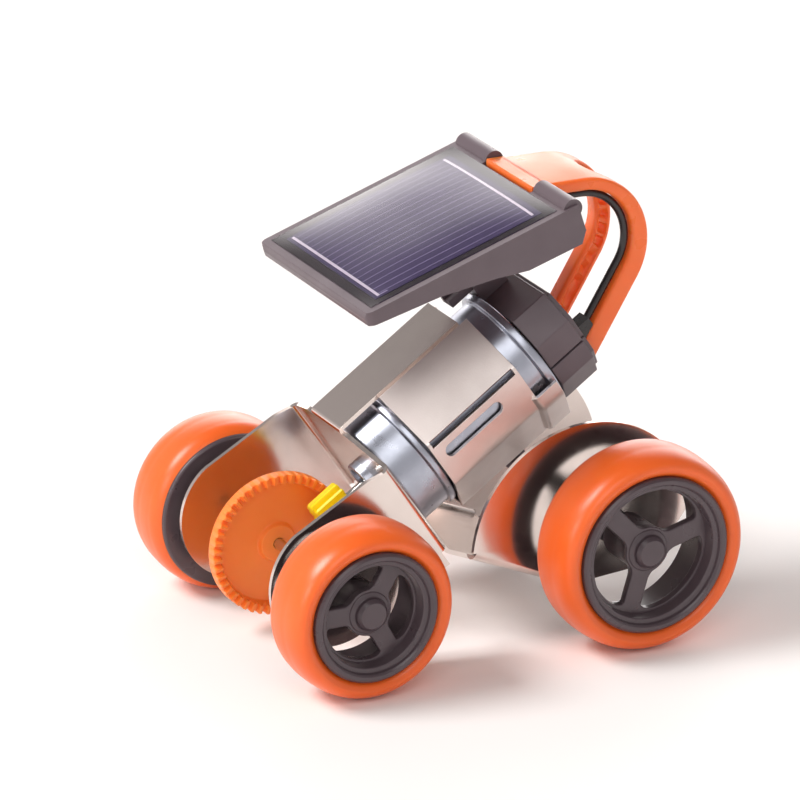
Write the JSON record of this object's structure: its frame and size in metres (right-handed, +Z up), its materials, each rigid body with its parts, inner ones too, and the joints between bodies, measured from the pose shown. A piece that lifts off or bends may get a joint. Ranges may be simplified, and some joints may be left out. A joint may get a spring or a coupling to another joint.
{
  "type": "solar powered toy racer",
  "caption": "Four-wheeled solar racer kit: bent metal chassis, clipped-in motor, crown gear drive to the front axle, and a tilting solar panel on a forked arm.",
  "frame": {"origin": "centre of the footprint on the floor, midway along the length of the car", "axes": "+X towards the small front wheels, +Y to the left side of the car, +Z up"},
  "size_m": [0.0882, 0.0684, 0.0809],
  "materials": {
    "polished_sheet": "polished nickel plated sheet",
    "motor_steel": "bright zinc plated steel",
    "magnet": "plain ferrite",
    "white_plastic": "moulded",
    "brass": "bright",
    "grey_plastic": "satin moulded",
    "orange_plastic": "moulded, slightly translucent",
    "black_rubber": "satin",
    "axle_steel": "ground rod",
    "orange_tyre": "satin soft tyre",
    "armature_steel": "laminations and copper winding",
    "yellow_plastic": "moulded",
    "silicon": "anti reflection coated",
    "silver_paste": "printed",
    "resin": "clear glossy dome",
    "board_black": "black board"
  },
  "bodies": {
    "chassis": {"chassis_frame": "polished_sheet", "motor_clip": "polished_sheet", "motor_can": "motor_steel", "motor_magnet_left": "magnet", "motor_magnet_right": "magnet", "motor_endbell": "white_plastic", "motor_terminals": "brass", "terminal_block": "grey_plastic", "end_cap_upper": "grey_plastic", "end_cap_lower": "grey_plastic", "support_arm": "orange_plastic", "solar_lead": "black_rubber", "strain_relief": "black_rubber", "bush_front_left": "grey_plastic", "bush_front_right": "grey_plastic", "bush_rear_left": "grey_plastic", "bush_rear_right": "grey_plastic"},
    "front_axle_set": {"front_axle": "axle_steel", "crown_gear": "orange_plastic", "front_hub_left": "grey_plastic", "front_hub_right": "grey_plastic", "front_tyre_left": "orange_tyre", "front_tyre_right": "orange_tyre"},
    "rear_axle_set": {"rear_axle": "axle_steel", "rear_hub_left": "grey_plastic", "rear_hub_right": "grey_plastic", "rear_tyre_left": "orange_tyre", "rear_tyre_right": "orange_tyre"},
    "motor_rotor": {"motor_shaft": "axle_steel", "armature": "armature_steel", "commutator": "brass", "pinion": "yellow_plastic"},
    "panel": {"panel_frame": "grey_plastic", "panel_cover": "grey_plastic", "cell_board": "board_black", "solar_cell": "silicon", "cell_bus_front": "silver_paste", "cell_bus_rear": "silver_paste", "cell_dome": "resin", "hinge_pin": "axle_steel"}
  },
  "joints": [
    {"name": "front_axle_spin", "type": "hinge", "parent": "chassis", "child": "front_axle_set", "pos_m": [0.02838, 0, 0.01575], "axis": [0, 1, 0], "continuous": true},
    {"name": "rear_axle_spin", "type": "hinge", "parent": "chassis", "child": "rear_axle_set", "pos_m": [-0.02562, 0, 0.0185], "axis": [0, 1, 0], "continuous": true},
    {"name": "motor_spin", "type": "hinge", "parent": "chassis", "child": "motor_rotor", "pos_m": [0.02838, 0, 0.01575], "axis": [-0.8141, 0, 0.5807], "continuous": true},
    {"name": "panel_tilt", "type": "hinge", "parent": "chassis", "child": "panel", "pos_m": [-0.01473, 0, 0.0791], "axis": [0, 1, 0], "range_deg": [-15, 6]}
  ],
  "couplings": [
    {"joint": "motor_spin", "follows": "front_axle_spin", "ratio": 3.4286}
  ]
}
